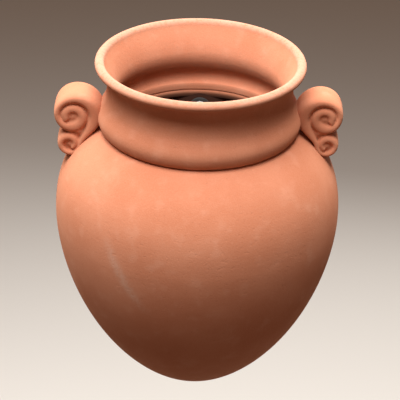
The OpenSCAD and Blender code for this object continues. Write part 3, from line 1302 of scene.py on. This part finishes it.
@dataclass
class Fixings:
    """The screw, its two washers and the wall plug, all along +Y through the origin."""

    slab_t: float
    pad_t: float = 2.0
    washer_t: float = 1.2
    pad_r: float = 8.0
    washer_r: float = 5.5
    bore_r: float = 2.65
    screw_l: float = 60.0
    thread_r: float = 2.5
    core_r: float = 1.75
    shank_l: float = 12.0
    shank_r: float = 2.1
    point_l: float = 6.0
    pitch: float = 2.2
    thread_step: float = 0.2
    ridge_w: float = 0.32
    screw_turns: int = 64
    head_r: float = 4.75
    head_h: float = 3.4
    head_edge: float = 0.35
    dome_share: float = 1.15
    head_turns: int = 26
    edge_turns: int = 5
    cross_arm: float = 0.55
    cross_reach: float = 2.5
    cross_depth: float = 1.7
    plug_r: float = 4.0
    plug_l: float = 40.0
    rib_l: float = 4.0
    rib_depth: float = 0.7
    collar_l: float = 1.8
    slot_depth: float = 0.95
    slot_w: float = 0.16
    slot_from: float = 8.0
    nose_l: float = 3.0
    nose_in: float = 1.1
    plug_turns: int = 96
    bore_rings: int = 40

    @property
    def head_y(self) -> float:
        """Where the underside of the screw's head is."""
        return -self.slab_t - self.pad_t - self.washer_t

    def about_y(self, radius: np.ndarray, y: np.ndarray, a: np.ndarray) -> np.ndarray:
        """Points (r cos a, y, r sin a) about the Y axis, (n, m, 3)."""
        return np.stack(np.broadcast_arrays(radius * np.cos(a), y, radius * np.sin(a)), -1)

    def lathe(self, name: str, outline: list[tuple[float, float]], turns: int = 72) -> bpy.types.Object:
        """Revolves a closed outline about the Y axis.

        Args:
            name: the piece's name.
            outline: points of radius and y.
            turns: how many points go round.

        Returns:
            The new object.
        """
        ring = np.asarray(outline)
        points = self.about_y(ring[:, 0, None], ring[:, 1, None], full_turn(turns))
        return make_piece(name, points, grid_faces(len(ring), turns, True, True))

    def rounded(self, inner: float, outer: float, near: float, far: float, edge: float) -> np.ndarray:
        """The outline of a flat ring with rounded edges.

        Args:
            inner: inner radius.
            outer: outer radius.
            near: lowest y.
            far: highest y.
            edge: radius of the rounded edges.

        Returns:
            Points (n, 2) of radius and y, one arc for each corner.
        """
        corners = [(outer - edge, near + edge, -90), (outer - edge, far - edge, 0),
                   (inner + edge, far - edge, 90), (inner + edge, near + edge, 180)]
        return np.vstack([arc((r, y), edge, a, a + 90, 4) for r, y, a in corners])

    def build_washer(self) -> bpy.types.Object:
        """The steel washer, its edges a little rounded by the punch."""
        near = self.head_y
        outline = self.rounded(self.bore_r, self.washer_r, near, near + self.washer_t, 0.25)
        return self.lathe("zinc_washer", outline)

    def build_pad(self) -> bpy.types.Object:
        """The rubber washer, with soft edges."""
        outline = self.rounded(self.bore_r, self.pad_r, -self.slab_t - self.pad_t, -self.slab_t, 0.6)
        return self.lathe("rubber_pad", outline)

    def build_screw(self) -> bpy.types.Object:
        """The screw: a domed head with a cross recess, a plain neck, a thread and a point.

        The thread's radius at angle a and length l is core + depth * max(0, 1 - |f| / w),
        with f the phase l / pitch - a / 2 pi brought to -0.5..0.5. The head's dome is part
        of a sphere, less the recess, which is deepest in the middle of a cross.

        Returns:
            The screw.
        """
        a = full_turn(self.screw_turns)
        length = np.arange(0, self.screw_l + 0.01, self.thread_step)[:, None]
        phase = (length / self.pitch - a / TAU + 0.5) % 1 - 0.5
        ridge = np.maximum(0, 1 - np.abs(phase) / self.ridge_w)
        grown = np.clip((length - self.shank_l) / self.pitch, 0, 1)
        taper = np.clip((self.screw_l - length) / self.point_l, 0, 1) ** 0.8
        core = np.where(length < self.shank_l, self.shank_r, self.core_r)
        radius = (core + (self.thread_r - self.core_r) * ridge * grown) * taper
        points = np.concatenate([self.head_rings(a), self.about_y(radius, self.head_y + length, a)])
        faces = grid_faces(len(points), self.screw_turns, False, True)
        return make_piece("cross_head_screw", points, faces)

    def head_rings(self, a: np.ndarray) -> np.ndarray:
        """Rings of the head from the middle of its top to the underside at the neck.

        Args:
            a: the angles of a ring's points.

        Returns:
            Points (n, m, 3).
        """
        dome_r, top = self.head_r - self.head_edge, self.head_turns + self.edge_turns
        swing = np.linspace(0, np.pi / 2, self.edge_turns + 1)[1:]
        radius = np.concatenate([np.linspace(0, dome_r, self.head_turns),
                                 dome_r + self.head_edge * np.sin(swing),
                                 [self.head_r, self.head_r - 0.15, self.core_r + 0.5]])
        ball = self.dome_share * self.head_r
        crown = np.sqrt(ball**2 - np.minimum(radius, self.head_r - 0.02) ** 2) - ball
        depth = self.head_h + crown
        depth[top:] = (self.head_edge, 0.0, 0.0)
        depth = np.maximum(depth, 0.0)
        x, z = radius[:, None] * np.cos(a), radius[:, None] * np.sin(a)
        cross = np.maximum(self.bar(x, z), self.bar(z, x))
        y = self.head_y - depth[:, None] + self.cross_depth * cross * (depth > 0.5)[:, None]
        return np.stack(np.broadcast_arrays(x, y, z), -1)

    def bar(self, along: np.ndarray, across: np.ndarray, side: float = 0.35,
            end: float = 0.9) -> np.ndarray:
        """One bar of the cross recess: 1 inside it, falling to 0 over its sloping walls.

        Args:
            along: places along the bar.
            across: places across it.
            side: length of the slope at its sides.
            end: length of the slope at its ends.

        Returns:
            How deep the recess is at each place, from 0 to 1.
        """
        slope = np.clip((self.cross_arm + side - np.abs(across)) / side, 0, 1)
        return slope * np.clip((self.cross_reach - np.abs(along)) / end, 0, 1)

    def build_plug(self) -> bpy.types.Object:
        """The plug: a collar, saw-toothed ribs, two slots down its sides, and its bore.

        The outer radius is R less a rib that falls evenly over each rib_l, and less the
        slot where |cos a| is small.

        Returns:
            The plug.
        """
        a = full_turn(self.plug_turns)
        ribbed = np.arange(self.collar_l + 0.4, self.plug_l - 0.2, 0.4)
        length = np.concatenate([[0, 0.3, self.collar_l - 0.3, self.collar_l], ribbed, [self.plug_l]])
        fall = ((length - ribbed[0]) % self.rib_l) / self.rib_l
        rib = self.rib_depth * fall * (length > self.collar_l)
        nose = self.nose_in * np.clip((length - self.plug_l + self.nose_l) / self.nose_l, 0, 1) ** 2
        slot = np.exp(-((np.cos(a) / self.slot_w) ** 2))
        open_here = np.clip((length - self.slot_from) / 0.6, 0, 1)[:, None]
        outer = (self.plug_r - rib - nose)[:, None] - self.slot_depth * slot * open_here
        outer = np.maximum(outer, self.thread_r + 0.1)
        bore = np.full((self.bore_rings, self.plug_turns), self.thread_r)
        y = np.concatenate([length, np.linspace(self.plug_l, 0, self.bore_rings)])[:, None]
        points = self.about_y(np.concatenate([outer, bore]), y, a)
        return make_piece("ribbed_plug", points, grid_faces(len(points), self.plug_turns, True, True))


# --------------------------------------------------------------- studio


@dataclass(frozen=True)
class Softbox:
    """A square area light that looks at a point."""

    name: str
    at: tuple[float, float, float]
    size: float
    power: float
    colour: str = "#ffffff"

    def build(self, target: Vector) -> None:
        """Adds the light.

        Args:
            target: the point that it is turned to.
        """
        data = bpy.data.lights.new(self.name, "AREA")
        data.shape = "SQUARE"
        data.size = self.size
        data.energy = self.power
        data.color = linear(self.colour)[:3]
        light = put(self.name, data)
        light.location = Vector(self.at)
        light.rotation_mode = "QUATERNION"
        light.rotation_quaternion = (target - light.location).to_track_quat("-Z", "Y")


@dataclass
class Studio:
    """Camera, floor and soft light."""

    hang: Hang
    aim_height_mm: float = 134.0
    aim_x_mm: float = 1.84
    elevation_deg: float = 14.05
    distance: float = 1.1724
    roll_deg: float = 1.5
    lens: float = 153.0
    floor_drop: float = 0.35
    floor_size: float = 14.0
    floor_colour: str = "#e4e1dc"
    world_colour: str = "#c8a48c"
    world_strength: float = 0.26
    lights: tuple[Softbox, ...] = (
        Softbox("overhead_key", (-0.17, -0.57, 1.24), 1.2, 60.0, "#fffdfa"),
        Softbox("back_fill", (0.5, 1.5, 0.7), 1.0, 8.0, "#f6f4f0"),
    )

    def aim(self) -> Vector:
        """The point that the camera looks at, on the pot's axis but for a small step aside."""
        point = self.hang.place(np.array([self.aim_x_mm, 0.0, self.aim_height_mm])) * MM
        return Vector(point.tolist())

    def build_camera(self) -> None:
        """Puts the camera in front of the wall, a little above and rolled by a degree or so."""
        data = bpy.data.cameras.new("camera")
        data.lens = self.lens
        data.sensor_width = 36.0
        data.dof.use_dof = False
        camera = put("camera", data)
        tilt = math.radians(self.elevation_deg)
        back = Vector((0.0, -math.cos(tilt), math.sin(tilt)))
        camera.location = self.aim() + back * self.distance
        camera.rotation_mode = "QUATERNION"
        roll = Quaternion((0, 0, 1), math.radians(self.roll_deg))
        camera.rotation_quaternion = (-back).to_track_quat("-Z", "Y") @ roll
        bpy.context.scene.camera = camera

    def build_floor(self) -> None:
        """A plain pale floor, clear below the hanging pot."""
        level = CAD_BOX[0].z - self.floor_drop
        half = self.floor_size / 2
        corners = [(-half, -half, level), (half, -half, level), (half, half, level), (-half, half, level)]
        mesh = bpy.data.meshes.new("studio_floor")
        mesh.from_pydata(corners, [], [(0, 1, 2, 3)])
        floor = put("studio_floor", mesh)
        bench = NodeBench("floor_paint")
        bench.shader.inputs["Base Color"].default_value = linear(self.floor_colour)
        bench.constants(roughness=0.9)
        mesh.materials.append(bench.material)
        floor.visible_diffuse = False

    def build_world(self) -> None:
        """An even warm surround, as a wall of brick would give."""
        world = bpy.data.worlds.new("surround")
        world.use_nodes = True
        background = world.node_tree.nodes["Background"]
        background.inputs["Color"].default_value = linear(self.world_colour)
        background.inputs["Strength"].default_value = self.world_strength
        bpy.context.scene.world = world

    def build(self) -> None:
        """Builds the camera, the floor, the surround and the lights."""
        self.build_camera()
        self.build_floor()
        self.build_world()
        for light in self.lights:
            light.build(self.aim())
        bpy.context.scene.view_settings.view_transform = "Standard"


# ----------------------------------------------------------------- main


def report(piece: bpy.types.Object) -> None:
    """Logs a piece, how many faces it has, and how far its box is from its CAD nodes' box.

    Args:
        piece: the dressed piece.
    """
    nodes = list(piece.get("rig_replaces", []))
    lows, highs = zip(*(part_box(node) for node in nodes))
    evaluated = piece.evaluated_get(bpy.context.evaluated_depsgraph_get())
    corners = np.array([tuple(corner) for corner in evaluated.bound_box])
    low, high = np.min([tuple(v) for v in lows], 0), np.max([tuple(v) for v in highs], 0)
    off = np.concatenate([corners.min(0) - low, corners.max(0) - high]) / MM
    LOG.info("%s for %s: %d faces, box off by %s mm", piece.name, nodes,
             len(evaluated.data.polygons), np.round(off, 2).tolist())


def main() -> None:
    """Builds the studio, the clay and the fixings in order."""
    logging.basicConfig(level=logging.INFO, format="%(name)s: %(message)s")
    sizes = PotSizes()
    hang = Hang(sizes)
    Studio(hang).build()

    thrown, necked, rolled, strap = (
        Terracotta(f"terracotta_{made}").make(hang)
        for made in ("thrown_belly", "thrown_neck", "rolled_slab", "hand_rolled_strap")
    )
    zinc = ZincPlate().make()
    rubber = Moulded("moulded_black_rubber", "#1b1b1c", "#3a3734", 0.75).make()
    nylon = Moulded("moulded_grey_nylon", "#8d8f90", "#a49c92", 0.5).make()

    belly, neck = Belly(sizes, hang), Neck(sizes, hang)
    fixings = Fixings(sizes.slab_t)
    made = [
        (belly.build(), thrown, Slot.BELLY, "belly"),
        (neck.build(), necked, Slot.NECK, "neck_collar"),
        (BackSlab(sizes, hang, belly).build(), rolled, Slot.SLAB, "back_slab"),
        (Scroll(sizes, hang, belly, neck, Side.LEFT).build(), strap, Slot.HANDLE, "left_scroll"),
        (Scroll(sizes, hang, belly, neck, Side.RIGHT, sizes.right_size, sizes.right_lift).build(),
         strap, Slot.HANDLE, "right_scroll"),
        (fixings.build_screw(), zinc, Slot.ZINC, "wall_screw"),
        (fixings.build_washer(), zinc, Slot.ZINC, "steel_washer"),
        (fixings.build_pad(), rubber, Slot.RUBBER, "rubber_washer"),
        (fixings.build_plug(), nylon, Slot.NYLON, "wall_plug"),
    ]
    for piece, material, slot, node in made:
        dress(piece, material, slot, node)
        report(piece)


if __name__ == "__main__":
    main()
